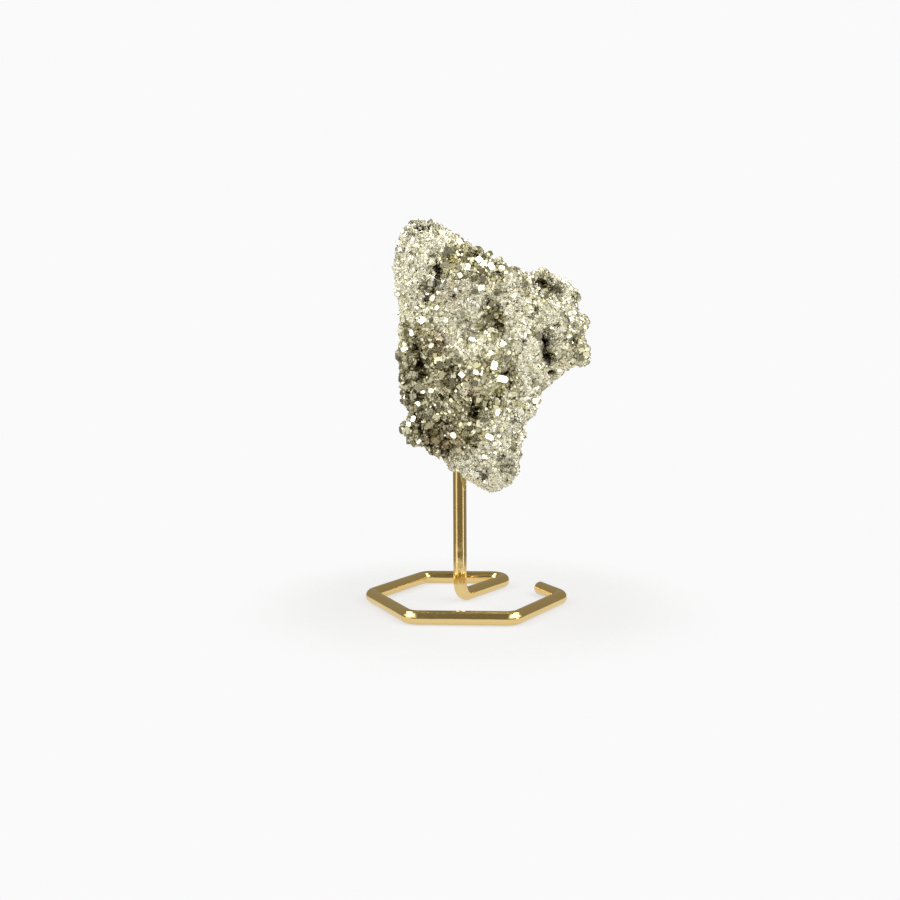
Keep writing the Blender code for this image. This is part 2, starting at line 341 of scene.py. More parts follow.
lump = merged_copy("pyrite_lump", "pyrite")
remesh = lump.modifiers.new("even skin", "REMESH")
remesh.mode = "VOXEL"
remesh.voxel_size = SKIN_VOXEL
soften = lump.modifiers.new("soften", "SMOOTH")
soften.iterations = SKIN_ROUNDING
settle(lump)
print("lump triangles", triangles(lump))

# %% [markdown]
# ## Where the skin is coarse, where it is stained, and where shade is painted
# The druse isn't the same all over. The crown, the rib on the right and the toe are sugary; the middle
# and the lower left are coarse; iron has rusted in a few places. Deep places and a few spots of the front
# are darker with painted shade. Painting this by hand as weights would leave nothing to read in a script,
# so each place is a spot: a disc as it shows from the eye. A slow noise carries the change round the back,
# where no one view decides it. The result is kept on the skin as attributes, which the crystals that stand
# there inherit.

# %% Spots on the front
# Where each spot's middle shows, x from the post and z above the floor, and its radius, in millimetres
SUGARY_SPOTS = [
    (-20, 158, 17), (-18, 140, 12), (29, 134, 12), (31, 120, 12), (28, 106, 11), (29, 92, 11), (22, 78, 11),
    (15, 62, 14), (2, 140, 12), (46, 138, 10), (0, 129, 11), (3, 118, 9),
]
COARSE_SPOTS = [
    (18, 98, 12), (-14, 92, 16), (-20, 112, 12), (-4, 104, 11), (0, 84, 12), (12, 150, 9), (15, 126, 7),
    (-2, 152, 8), (-14, 78, 12), (36, 138, 8), (4, 74, 8),
]
STAIN_SPOTS = [(-9, 117, 5), (5, 96, 3), (-7, 73, 7), (-12, 68, 6)]
# Spots where the front gets painted shade: the colour is darkened there
SHADED_SPOTS = [
    (-17, 174, 8), (-20, 108, 10), (-14, 78, 13), (8, 86, 5), (-22, 92, 9), (-4, 104, 6), (15, 128, 3.5),
    (8, 153, 4), (7, 146, 4), (-12, 141, 4), (37, 142, 4), (12, 134, 3), (4, 75, 4),
]


def as_seen(co):
    """Where a point shows on the upright plane through the post, as x from the post and z in millimetres."""
    ray = co - EYE
    shown = EYE + ray * ((POST.y - EYE.y) / ray.y)
    return (shown.x - POST.x) / MM, shown.z / MM


CRISP, SOFT = 0.6, 1.2  # how wide a spot's edge fades, as a share of its radius


def spot_strength(co, spots, fade):
    """How much the point lies in the spots: 1 well inside one, 0.5 at its rim, 0 well outside them all."""
    seen_x, seen_z = as_seen(co)
    strength = 0.0
    for x, z, radius in spots:
        reach = math.hypot(seen_x - x, seen_z - z) / radius
        strength = max(strength, min(1.0, (1 - reach) / fade + 0.5))
    return strength


crown = Vector((POST.x - 20 * MM, -15 * MM, 155 * MM))
print("the crown is sugary by", round(spot_strength(crown, SUGARY_SPOTS, CRISP), 2))

# %% The zones
SLOW, QUICKER = 22 * MM, 9 * MM  # the noise that carries the zones round the back
MIDDLING = 0.45  # how coarse the back is on average
BACK_SWING, SWING = 0.9, 0.25  # how far the noise changes that at the back, and everywhere
RUST_START, RUST_GAIN = 0.45, 1.5  # the noise stains the skin where it is above the first
FRONT_TURN = 1.4  # how soon the front gives way to the back as the skin turns
ROD_CLEARANCE = 1.2 * MM  # crystals keep off the skin round the rod's hole
HOLE_TOP = POST_TOP + 2 * MM


def front_share(normal):
    """1 where the skin faces the front, 0 where it faces the back."""
    return min(1.0, max(0.0, 0.5 - FRONT_TURN * normal.y))


def zones(mesh):
    """For each vertex: how coarse, how stained, and how open to crystals the skin is there."""
    coarse, stain, open_skin = [], [], []
    for vert in mesh.vertices:
        front = front_share(vert.normal)
        slow = noise.noise(vert.co / SLOW) + 0.5 * noise.noise(vert.co / QUICKER)
        coarser, finer = (spot_strength(vert.co, spots, CRISP) for spots in (COARSE_SPOTS, SUGARY_SPOTS))
        at_back = MIDDLING + BACK_SWING * slow
        mixed = front * (0.5 + coarser - finer) + (1 - front) * at_back + SWING * slow
        coarse.append(min(1.0, max(0.0, mixed)))
        rusty = spot_strength(vert.co, STAIN_SPOTS, SOFT) * front + max(0.0, slow - RUST_START) * RUST_GAIN
        stain.append(min(1.0, rusty))
        off_axis = math.hypot(vert.co.x - POST.x, vert.co.y - POST.y)
        at_rod = off_axis < ROD_RADIUS + ROD_CLEARANCE and vert.co.z < HOLE_TOP
        open_skin.append(0.0 if at_rod else 1.0)
    return coarse, stain, open_skin


skin_coarse, _, skin_open = zones(lump.data)
print("coarse on average", round(sum(skin_coarse) / len(skin_coarse), 2))

# %% [markdown]
# ## Clefts, lumps and the outline
# The crystals have grown round hollows, and the deepest of these are dark slots in the front. A cut with
# a Boolean would leave clean walls, and these are ragged. So the skin's own vertices are pushed straight
# in, away from the viewer, along a few short lines, and noise bends the lines' edges. The same pass
# raises lumps of 2 to 6 mm, which break up the light before any crystal stands on the skin, and it takes
# in or lets out the outline in a few places by up to 4.6 mm, where the solid's broad facets pass over a
# dip or a knob.

# %% Clefts
# Each cleft's middle line as x, z points as seen, half its width and its depth, in millimetres
CLEFTS = [
    ([(-9.6, 152), (-9.4, 147)], 1.6, 4.5), ([(-9.4, 147), (-11, 142), (-15, 135.5)], 1.5, 2.6),
    ([(36.6, 119.5), (37.4, 115), (38.6, 111)], 1.7, 4.5), ([(38.6, 111), (39.4, 108)], 1.2, 2.2),
    ([(-18.6, 114), (-17.2, 109), (-15.8, 103.5)], 1.2, 2.2), ([(35.4, 142.6), (40, 140)], 1.2, 1.7),
    ([(33, 121), (33.4, 119)], 0.9, 2.6), ([(28, 117.5), (28.5, 115.5)], 0.8, 2.4),
    ([(50.5, 118.5), (49, 113)], 1.0, 2.2), ([(48.3, 109), (48.6, 107)], 1.0, 2.2),
    ([(17, 147.5), (18, 148)], 1.0, 3.4), ([(17, 135), (19, 129), (17, 123)], 1.2, 1.1),
    ([(20.5, 103.5), (21.8, 98.5)], 1.1, 3.2), ([(5.4, 90.5), (6.6, 88)], 1.0, 2.8),
    ([(7.0, 85), (7.4, 82)], 0.8, 1.6), ([(-18.4, 168), (-13, 166.5), (-10.5, 166.5)], 0.9, 2.6),
    ([(-23, 144), (-21.6, 143.5)], 0.9, 2.0), ([(11.8, 59.6), (12.6, 58.6)], 1.1, 2.6),
    ([(-20, 86), (-17, 82), (-18, 77)], 1.4, 2.2), ([(24, 83), (28, 81)], 0.9, 2.2),
    ([(-4, 138), (-1.4, 137.2)], 0.8, 2.4), ([(40, 103.6), (42, 103)], 1.2, 3.0),
    ([(2, 145), (6, 144)], 1.3, 1.4), ([(-25, 160), (-24, 157)], 0.9, 1.8),
    ([(-23.6, 95), (-23, 90)], 1.0, 2.0), ([(33.6, 132), (34.4, 131)], 0.8, 2.2),
    ([(42, 124.5), (43, 124)], 0.9, 2.4), ([(18, 69), (19.4, 68)], 0.9, 2.0),
]
CLEFT_WIDENING, CLEFT_FILLING = 1.1, 0.8  # the crystals that stand in a cleft fill a part of it
# How far noise shifts a cleft's edge, in millimetres, and over what length
BENDS, NICKS = (1.6, 3.5 * MM), (1.1, 1.3 * MM)
ASIDE = Vector((0, 500 * MM, 0))  # the same noise read far off is a second noise


def distance_to_line(x, z, line):
    """How far the point is from the nearest of the line's straight stretches."""
    nearest = math.inf
    for (x0, z0), (x1, z1) in zip(line, line[1:]):
        run = (x1 - x0) ** 2 + (z1 - z0) ** 2
        along = min(1.0, max(0.0, ((x - x0) * (x1 - x0) + (z - z0) * (z1 - z0)) / run))
        nearest = min(nearest, math.hypot(x - x0 - along * (x1 - x0), z - z0 - along * (z1 - z0)))
    return nearest


def ragged(co):
    """How far noise shifts a cleft's edge at a point, in millimetres: slow bends and quick nicks."""
    return sum(shift * noise.noise(co / length) for shift, length in (BENDS, NICKS))


def cleft_depth(co):
    """How deep the front's clefts are at a point of the skin, in metres."""
    seen_x, seen_z = as_seen(co)
    x, z = seen_x + ragged(co), seen_z + ragged(co + ASIDE)
    depth = 0.0
    for line, half_width, deepest in CLEFTS:
        reach = distance_to_line(x, z, line) / (CLEFT_WIDENING * half_width)
        if reach < 1:
            depth = max(depth, CLEFT_FILLING * deepest * (1 - reach ** 4))
    return depth * MM


clefts = [front_share(vert.normal) * cleft_depth(vert.co) for vert in lump.data.vertices]
print("deepest cleft", round(max(clefts) / MM, 1), "mm")

# %% The outline
# Where the outline stands in or out: x, z and radius as seen, and how far it moves outwards, in millimetres
TRIMS = [
    (12, 159, 8, -2.4), (26, 152, 8, -1.9), (56, 134, 7, -4.6), (57, 112, 7, 2.6), (-13, 65, 9, -3.0),
    (26, 92, 5, -0.8), (-25.5, 86, 4, -2.0), (-22, 70, 4, -0.6), (-30, 107, 4, -0.8), (46, 143, 7, -1.4),
    (28, 67, 8, -1.4),
]


def trim(co, normal):
    """The move that takes in or lets out the outline. It is greatest on skin that faces sideways."""
    sideways = Vector((normal.x, 0, normal.z))
    seen_x, seen_z = as_seen(co)
    amount = 0.0
    for x, z, radius, outwards in TRIMS:
        reach = math.hypot(seen_x - x, seen_z - z) / radius
        amount += outwards * max(0.0, 1 - reach ** 2) ** 0.5
    return sideways * amount * MM


print("the outline is corrected in", len(TRIMS), "places")

# %% Lumps
SWELL_SIZE, GROOVE_SPACING, TOP_SIZE = 6 * MM, 4.5 * MM, 2.4 * MM
SWELL, GROOVE, TOP = (0.9, 0.4), (0.7, 0.6), (0.9, 0.5)  # heights in mm, and what coarse skin adds to them
GROOVE_WIDTH, TOP_REACH = 0.2, 0.45  # as shares of the cells that they lie between and stand on


def rise(co, how_coarse):
    """How far the skin stands out at a point, in metres: broad swells, grooves and single crystals' tops."""
    swell, groove, top = (least + added * how_coarse for least, added in (SWELL, GROOVE, TOP))
    broad = swell * noise.noise(co / SWELL_SIZE)
    nearest, second = noise.voronoi(co / GROOVE_SPACING)[0][:2]
    narrow = groove * max(0.0, 1 - (second - nearest) / GROOVE_WIDTH)
    peak = top * (TOP_REACH - noise.voronoi(co / TOP_SIZE)[0][0])
    return (broad - narrow + peak) * MM


moves = []
for vert, how_coarse, is_open, cleft in zip(lump.data.vertices, skin_coarse, skin_open, clefts):
    raised = vert.normal * is_open * rise(vert.co, how_coarse)
    sunk = Vector((0, is_open * cleft, 0))
    moves.append(raised + sunk + trim(vert.co, vert.normal))
for vert, move in zip(lump.data.vertices, moves):
    vert.co += move
lump.data.update()
print("the skin moved by up to", round(max(move.length for move in moves) / MM, 1), "mm")

# %% [markdown]
# ## What the skin remembers
# A hollow between crystals is darker than its rim, because less light gets in. The renderer finds that shade
# by itself, and here more shade is painted on as well: the hollows, the clefts and the shaded spots darken
# the colour. To find the hollows, a copy of the skin is melted flat by smoothing. Where the melted copy lies
# above a vertex, that vertex is in a hollow. A long melt finds wide hollows, a short one finds narrow gaps.
# The sum, how much painted shade each vertex gets, is kept with the zones as attributes of the skin.


# %% Hollows and attributes
def hollowness(obj, reach, passes):
    """For each vertex, how deep it lies in a hollow, from 0 to 1; reach is the depth that counts as 1."""
    melted_copy = obj.copy()
    bpy.context.scene.collection.objects.link(melted_copy)
    melt = melted_copy.modifiers.new("melt", "SMOOTH")
    melt.iterations = passes
    settle(melted_copy)
    depths = []
    for vert, melted in zip(obj.data.vertices, melted_copy.data.vertices):
        depths.append(min(1.0, max(0.0, (melted.co - vert.co).dot(vert.normal) / reach)))
    bpy.data.objects.remove(melted_copy)
    return depths


def set_attribute(mesh, name, values):
    """Keeps one number for each vertex on the mesh, for crystals and materials to read."""
    mesh.attributes.new(name, "FLOAT", "POINT").data.foreach_set("value", values)


WIDE_HOLLOW, NARROW_HOLLOW = (3 * MM, 150), (0.8 * MM, 20)  # the reach, and the passes of the melting
# How much painted shade each kind of hollow, the clefts and the shaded spots put on the skin, and the most
# in all
WIDE_SHARE, NARROW_SHARE, CLEFT_SHARE, SHADE_SHARE, DEEPEST = 0.12, 0.3, 0.6, 0.48, 0.9
FULL_CLEFT = 3 * MM  # a cleft this deep is as dark as it gets

for name, values in zip(("coarse", "stain", "open"), zones(lump.data)):
    set_attribute(lump.data, name, values)
wide, narrow = hollowness(lump, *WIDE_HOLLOW), hollowness(lump, *NARROW_HOLLOW)
in_clefts = [CLEFT_SHARE * min(1.0, cleft / FULL_CLEFT) for cleft in clefts]
in_shade = []
for vert in lump.data.vertices:
    in_shade.append(SHADE_SHARE * front_share(vert.normal) * spot_strength(vert.co, SHADED_SPOTS, SOFT))
layers = zip(wide, narrow, in_clefts, in_shade)
# deep: how much painted shade each vertex gets, from its hollows, its clefts and the shaded spots
deep = [min(DEEPEST, WIDE_SHARE * w + NARROW_SHARE * n + cleft + shade) for w, n, cleft, shade in layers]
set_attribute(lump.data, "deep", deep)
print("attributes on", len(deep), "vertices; deep on average", round(sum(deep) / len(deep), 2))

# %% [markdown]
# ## Crystal shapes
# Pyrite grows as cubes, as octahedra, and as the twelve-sided form that is named after it, and many cubes
# have their corners cut by the octahedron's faces. A shape that is repeated thousands of times has only a
# few faces, so these are single solids about a millimetre across, made flat-faced from Blender's own
# primitives.

# %% The shapes
# For crystals about a millimetre across, which the scattering brings to their sizes
CUBE_EDGE, CUT_CUBE_EDGE, CORNER_CUT, OCTAHEDRON_RADIUS = 0.8, 0.85, 0.2, 0.6
SHAPE_HALF = 0.35  # half the twelve-sided form's inner cube
PYRITE_RIDGE = 0.5  # how far the twelve-sided form's ridges stand off that cube's faces
FLAT_ENOUGH = 0.02  # two faces that meet at less than this, in radians, are one face


def cube_shape(bm):
    """A plain cube."""
    bmesh.ops.create_cube(bm, size=CUBE_EDGE)


def cut_cube_shape(bm):
    """A cube whose corners are cut off."""
    bmesh.ops.create_cube(bm, size=CUT_CUBE_EDGE)
    bmesh.ops.bevel(
        bm, geom=bm.verts[:], offset=CORNER_CUT, segments=1, profile=0.5, affect="VERTICES", material=-1
    )


def octahedron_shape(bm):
    """An octahedron: a ball of only four sides and two rows."""
    bmesh.ops.create_uvsphere(bm, u_segments=4, v_segments=2, radius=OCTAHEDRON_RADIUS)


def twelve_sided_shape(bm):
    """The twelve-sided form: the hull round a cube's corners and a ridge stood over each of its faces."""
    bmesh.ops.create_cube(bm, size=2 * SHAPE_HALF)
    bmesh.ops.delete(bm, geom=bm.edges[:], context="EDGES_FACES")  # only the corners are needed
    high, low = SHAPE_HALF * (1 + PYRITE_RIDGE), SHAPE_HALF * (1 - PYRITE_RIDGE ** 2)
    for a in (-1, 1):
        for b in (-1, 1):
            bm.verts.new((0, a * low, b * high))
            bm.verts.new((a * low, b * high, 0))
            bm.verts.new((b * high, 0, a * low))
    bmesh.ops.convex_hull(bm, input=bm.verts)
    bmesh.ops.dissolve_limit(bm, angle_limit=FLAT_ENOUGH, verts=bm.verts, edges=bm.edges)


def shape_collection(name, builders):
    """A collection of crystal shapes that the scattering picks from. It isn't in the scene."""
    collection = bpy.data.collections.new(name)
    for number, builder in enumerate(builders):
        bm = bmesh.new()
        builder(bm)
        bmesh.ops.recalc_face_normals(bm, faces=bm.faces)
        mesh = bpy.data.meshes.new(f"{name}_{number}")
        bm.to_mesh(mesh)
        bm.free()
        collection.objects.link(bpy.data.objects.new(f"{name}_{number}", mesh))
    return collection


grain_shapes = shape_collection("grain_shape", [cube_shape, octahedron_shape, cube_shape])
crystal_shapes = shape_collection(
    "crystal_shape", [cut_cube_shape, cube_shape, octahedron_shape, cube_shape, twelve_sided_shape]
)

# %% [markdown]
# ## Scattering
# Thousands of crystals can't be placed by hand, and a particle system would be lost when the model is
# exported. Geometry Nodes puts points on the skin, no two nearer than a set distance, stands a crystal on
# each with a turn and size of its own, and then realizes the instances, so the piece is an ordinary mesh
# in the end. First comes the question of which skin a piece may cover: the coarse or the sugary, in one
# band of heights, off the rod.


# %% Which skin a piece covers
def allowed_skin(tree, zone, heights):
    """The chance that a point is kept, from 0 to 1: by the zone, the band of heights and the open skin."""
    coarse = add_node(tree, "GeometryNodeInputNamedAttribute", {"Name": "coarse"}, data_type="FLOAT")
    is_open = add_node(tree, "GeometryNodeInputNamedAttribute", {"Name": "open"}, data_type="FLOAT")
    share = add_node(
        tree, "ShaderNodeMapRange", {"Value": coarse.outputs[0], "From Min": zone[0], "From Max": zone[1]}
    )
    place = add_node(tree, "GeometryNodeInputPosition")
    height = add_node(tree, "ShaderNodeSeparateXYZ", {"Vector": place.outputs[0]}).outputs["Z"]
    above = add_node(tree, "ShaderNodeMath", {0: height, 1: heights[0] * MM}, operation="GREATER_THAN")
    below = add_node(tree, "ShaderNodeMath", {0: height, 1: heights[1] * MM}, operation="LESS_THAN")
    allowed = share.outputs[0]
    for gate in (above, below, is_open):
        both = add_node(tree, "ShaderNodeMath", {0: allowed, 1: gate.outputs[0]}, operation="MULTIPLY")
        allowed = both.outputs[0]
    return allowed


print("open to crystals:", round(100 * sum(skin_open) / len(skin_open), 1), "% of the skin's vertices")

# %% [markdown]
# Each crystal gets a size, a stretch along its own three axes and a turn, all from random numbers with
# seeds of their own. Squaring the size's number makes small crystals common and large ones rare, as in a
# real druse.

# %% The size and turn of each crystal
NARROWEST, WIDEST = (0.75,) * 3, (1.1,) * 3
NO_TURN, FULL_TURN = (0.0,) * 3, (math.tau,) * 3


def size_and_turn(tree, sizes, seed):
    """A scale for each point, between two sizes in millimetres, and a turn any way round."""
    chance = add_node(
        tree, "FunctionNodeRandomValue", {"Min": 0.0, "Max": 1.0, "Seed": seed + 1}, data_type="FLOAT"
    )
    squared = add_node(tree, "ShaderNodeMath", {0: chance.outputs[1], 1: 2.0}, operation="POWER")
    smallest, largest = sizes
    size = add_node(
        tree, "ShaderNodeMapRange",
        {"Value": squared.outputs[0], "To Min": smallest * MM, "To Max": largest * MM},
    )
    stretch = add_node(
        tree, "FunctionNodeRandomValue", {"Min": NARROWEST, "Max": WIDEST, "Seed": seed + 2},
        data_type="FLOAT_VECTOR",
    )
    scale = add_node(
        tree, "ShaderNodeVectorMath", {0: stretch.outputs[0], "Scale": size.outputs[0]}, operation="SCALE"
    )
    turn = add_node(
        tree, "FunctionNodeRandomValue", {"Min": NO_TURN, "Max": FULL_TURN, "Seed": seed + 3},
        data_type="FLOAT_VECTOR",
    )
    return scale.outputs[0], turn.outputs[0]


print("each way, a crystal is", NARROWEST[0], "to", WIDEST[0], "of its size")

# %% [markdown]
# A crystal is part sunk in the skin, as one that has grown there is. A random tone is stored on each
# instance before it is realized, so that a whole crystal has one tone.


# %% Crystals on the points
def stand_crystals(tree, points, shapes, sizes, sunk, seed):
    """A crystal on each point, with its size, its turn and its tone."""
    down = add_node(
        tree, "ShaderNodeVectorMath", {0: points.outputs["Normal"], "Scale": -sunk * sizes[0] * MM},
        operation="SCALE",
    )
    sunken = add_node(
        tree, "GeometryNodeSetPosition", {"Geometry": points.outputs["Points"], "Offset": down.outputs[0]}
    )
    picked = add_node(
        tree, "GeometryNodeCollectionInfo",
        {"Collection": shapes, "Separate Children": True, "Reset Children": True},
    )
    scale, turn = size_and_turn(tree, sizes, seed)
    stood = add_node(
        tree, "GeometryNodeInstanceOnPoints",
        {"Points": sunken.outputs[0], "Instance": picked.outputs[0], "Pick Instance": True,
         "Rotation": turn, "Scale": scale},
    )
    tone = add_node(tree, "FunctionNodeRandomValue", {"Seed": seed + 4}, data_type="FLOAT")
    return add_node(
        tree, "GeometryNodeStoreNamedAttribute",
        {"Geometry": stood.outputs[0], "Name": "tone", "Value": tone.outputs[1]},
        data_type="FLOAT", domain="INSTANCE",
    )


# %% [markdown]
# The tree of nodes is built by a function, because every piece of crystals is the same but for its
# numbers.

# %% The scattering
TRIES = 3  # points tried for each square of the spacing, before the ones too near each other are dropped


def scatter(name, shapes, spacing, sizes, zone, heights, seed, sunk=0.1):
    """A piece of crystals. The spacing, the sizes and the band of heights are in millimetres. The zone picks
    the coarse or the sugary skin. The crystals are sunk in the skin by a share of the smallest size."""
    tree = bpy.data.node_groups.new(name, "GeometryNodeTree")
    tree.interface.new_socket("Geometry", in_out="INPUT", socket_type="NodeSocketGeometry")
    tree.interface.new_socket("Geometry", in_out="OUTPUT", socket_type="NodeSocketGeometry")
    start = add_node(tree, "NodeGroupInput")
    points = add_node(
        tree, "GeometryNodeDistributePointsOnFaces",
        {"Mesh": start.outputs[0], "Distance Min": spacing * MM, "Density Max": TRIES / (spacing * MM) ** 2,
         "Density Factor": allowed_skin(tree, zone, heights), "Seed": seed},
        distribute_method="POISSON",
    )
    crystals = stand_crystals(tree, points, shapes, sizes, sunk, seed)
    solid = add_node(tree, "GeometryNodeRealizeInstances", {"Geometry": crystals.outputs[0]})
    add_node(tree, "NodeGroupOutput", {0: solid.outputs[0]})
    piece = bpy.data.objects.new(name, lump.data)
    bpy.context.scene.collection.objects.link(piece)
    piece.modifiers.new("scatter", "NODES").node_group = tree
    settle(piece)
    piece.data.name = name
    print(name, "triangles", triangles(piece))
    return piece


# %% [markdown]
# Now the pieces. Grains of sugar stand close together and cover the sugary skin, in three bands so that
# no piece grows too large to handle. Grown crystals of up to 2.9 mm stand in between and thin out where
# it is sugary. A few larger ones stand where it is coarse.

# %% The pieces of crystals
# How coarse the skin is where a kind of crystal has no chance, and where it has every chance
SUGAR, MIDDLE, COARSE = (1.3, 0.4), (-0.5, 0.6), (0.3, 0.9)
GRAIN_SPACING, GRAIN_SIZES = 0.78, (0.75, 1.5)
GROWN_SPACING, GROWN_SIZES, GROWN_SUNK = 1.3, (1.35, 2.9), 0.25
LARGE_SPACING, LARGE_SIZES = 3.2, (2.0, 4.2)
# Names, bands of heights and seeds
SUGAR_BANDS = [("top", (128, 200), 20), ("middle", (97, 128), 30), ("bottom", (0, 97), 40)]
GROWN_BANDS = [("top", (122, 200), 50), ("bottom", (0, 122), 55)]

sugar, grown = [], []
for band, heights, seed in SUGAR_BANDS:
    name = f"pyrite_sugar_{band}"
    sugar.append(scatter(name, grain_shapes, GRAIN_SPACING, GRAIN_SIZES, SUGAR, heights, seed))
for band, heights, seed in GROWN_BANDS:
    name = f"pyrite_grown_{band}"
    grown.append(
        scatter(name, crystal_shapes, GROWN_SPACING, GROWN_SIZES, MIDDLE, heights, seed, GROWN_SUNK)
    )
grown.append(scatter("pyrite_large", crystal_shapes, LARGE_SPACING, LARGE_SIZES, COARSE, (0, 200), 60))

# %% [markdown]
# ## The crystals that the eye knows
# The eye knows the front by its largest crystals. They are put in one by one: each has a place, a size and a
# way that its top face looks. A flat face is a mirror, so the way it looks decides what it shows: the
# bright paper at the sides makes it flash, the dark in front keeps it grey, and a little to the side it
# is pale.

# %% Where the large crystals stand
LOOKS_RIGHT = Vector((0.36, -0.86, 0.36))
LOOKS_LEFT = Vector((-0.36, -0.84, 0.38))
LOOKS_FRONT = Vector((0.05, -1.0, 0.1))
LOOKS_ASIDE = Vector((0.13, -0.97, 0.18))
# Where each shows, x from the post and z above the floor, and its size, in millimetres
FLASHING = [
    (0.6, 160.2, 3.6), (8.4, 152.9, 3.2), (11, 151.2, 3.4), (14, 149.5, 3.6), (4.7, 149.6, 3.4),
    (10, 140.5, 3.2), (-16, 134, 3.0), (-11.4, 136.4, 3.2), (-16.8, 126.3, 4.2), (-21.4, 121, 3.0),
    (-24, 114.4, 3.0), (5.6, 117.6, 3.4), (19.4, 116, 3.2), (13.9, 112, 3.2), (15, 106.3, 4.2),
    (18.2, 100, 5.4), (13.5, 96, 3.4), (14.4, 89.3, 3.4), (0, 90.6, 3.0), (-16, 95.6, 2.6),
    (-12.8, 95.6, 3.0), (-18.6, 90, 2.6), (-17.7, 74, 3.4), (-3, 76, 3.2), (-6.5, 76.4, 3.0), (13, 75, 4.0),
    (11.4, 66.4, 3.8), (17.3, 86, 3.8), (33, 91, 2.6), (2.7, 71.8, 3.0), (48.8, 116, 3.2), (-10, 132, 2.4),
    (24, 137, 2.4), (-20, 83, 3.0),
]
GREY = [
    (-5.2, 157.5, 4.2), (29.3, 142, 3.4), (3, 145, 3.2), (10.6, 144.2, 3.0), (7, 138.8, 3.4),
    (14.4, 101.4, 3.4), (14.8, 93.6, 3.4), (0.2, 94.7, 3.4), (-8.5, 107.2, 3.6), (-22.7, 102.3, 3.0),
    (53, 110, 3.6), (-12.3, 127, 3.0), (-3, 100, 3.2), (24, 70, 2.8), (-13, 84, 3.0), (-9, 114.5, 3.2),
    (-4.5, 107.5, 3.0), (5, 104.5, 3.0), (-17.5, 99, 2.8), (-6, 92, 3.0), (1.6, 84.6, 3.0),
    (-9.6, 100.4, 2.8), (8.6, 110.6, 2.8), (7, 99, 3.0), (-1, 113, 2.6), (6.5, 74, 3.0), (20.4, 110, 2.8),
]
PALE = [
    (11.0, 82.8, 4.6), (-7.2, 109.6, 3.4), (0.4, 109.4, 3.2), (1.8, 95.4, 3.4), (-20.8, 103.4, 3.2),
    (11.6, 93, 3.6), (-12.4, 115.6, 3.0), (22, 101.6, 3.0), (-20.6, 93.4, 3.0),
]
print("large crystals:", len(FLASHING), "flashing,", len(GREY), "grey,", len(PALE), "pale")


# %% One large crystal
UNEVEN_AIM = 0.06
STANDS_OUT = 0.16  # of its size
EDGE = 0.9  # of its size, before it is squashed
WIDTHS, HEIGHTS = (0.5, 0.95), (0.6, 0.9)  # what is left of the edge when it is squashed, two ways
CUTS, DEEPEST_CUT = (0.12, 0.32), 0.48  # off each corner, of its size, and at most of its shortest edge


def showing_crystal(bm, place, outward, size, looks, chance):
    """A cut crystal, part sunk in the skin, whose top face looks one way. It joins the bmesh."""
    aim = (looks.normalized() + UNEVEN_AIM * Vector([chance.gauss(0, 1) for _ in range(3)])).normalized()
    spin = Matrix.Rotation(chance.uniform(0, math.tau), 4, "Z")
    turn = aim.to_track_quat("Z", "Y").to_matrix().to_4x4()
    width, height = chance.uniform(*WIDTHS), chance.uniform(*HEIGHTS)
    squash = Matrix.Diagonal((1, width, height, 1))
    matrix = Matrix.Translation(place + outward * STANDS_OUT * size) @ turn @ spin @ squash
    made = bmesh.ops.create_cube(bm, size=size * EDGE, matrix=matrix)["verts"]
    cut = min(chance.uniform(*CUTS), DEEPEST_CUT * EDGE * min(width, height))
    bmesh.ops.bevel(
        bm, geom=made, offset=size * cut, segments=1, profile=0.5, affect="VERTICES", material=-1
    )


print("a large crystal stands", STANDS_OUT, "of its size out of the skin")

# %% The large crystals, in one piece
SHOWING_SEED = 11
# The places, and the ways that the crystals there may look
SHOWING = [(FLASHING, (LOOKS_RIGHT, LOOKS_LEFT)), (GREY, (LOOKS_FRONT,)), (PALE, (LOOKS_ASIDE,))]


def showing_crystals(name):
    """The piece with all the large crystals of the front, each where the line of sight meets the skin."""
    chance = random.Random(SHOWING_SEED)
    skin = bmesh.new()
    skin.from_mesh(lump.data)
    tree = BVHTree.FromBMesh(skin)
    skin.free()
    bm = bmesh.new()
    for places, ways in SHOWING:
        for x, z, size in places:
            through = Vector((POST.x + x * MM, POST.y, z * MM))
            place, outward, _, _ = tree.ray_cast(EYE, through - EYE)
            if place is None:
                print("no skin behind the crystal at", x, z)
                continue
            showing_crystal(bm, place, outward, size * MM, chance.choice(ways), chance)
    return add_object(name, bm)


showing = showing_crystals("pyrite_showing")
grown.append(showing)
print("showing crystals triangles", triangles(showing))

# %% [markdown]
# ## Pyrite
# Pyrite is a pale brass-yellow mineral with a metal's shine, and its faces are as they grew: mirror-like
# on large crystals, with fine growth lines and etching on small ones. The eye gets thousands of small
# mirrors, each with a tone of its own, iron rust in a few places, and dull brown-black between them, which
# is painted shade. So the shader is a plain metal. Its colour is built up in steps: a tone picked for each
# crystal, a greyer cast where the skin is coarse, rust, and dark gaps of painted shade. Its roughness goes
# with the crystal's tone, so that neighbours differ in their shine as well. The steps read the attributes
# that the crystals took over from the skin.

# %% Steps of pyrite's colour
TONE_STEPS = (0.0, 0.3, 0.55, 0.75, 0.9)  # where each of the five tones begins
# The last colour is the dark olive of painted shade, laid in gaps, hollows, clefts and pits
COARSE_CAST, RUST, PAINTED_SHADE = "F6F3E8", "8A6B4C", "544C2A"
RUST_BLOTCH, PIT_SIZE = 1.6, 1.5  # mm
# A pit is a spot of painted shade where the noise rises above its rim
PIT_RIM, PIT_BOTTOM, PIT_SHARE = 0.58, 0.67, 0.65  # the noise at a pit's rim and bottom, and how dark it is


def crystal_tone(tree, tone, tones):
    """One of five tones for each crystal, without blending."""
    ramp = add_node(tree, "ShaderNodeValToRGB", {"Fac": tone})
    ramp.color_ramp.interpolation = "CONSTANT"
    for where, colour in zip(TONE_STEPS, tones):
        element = ramp.color_ramp.elements[0] if where == 0 else ramp.color_ramp.elements.new(where)
        element.color = linear(colour)
    return ramp.outputs[0]


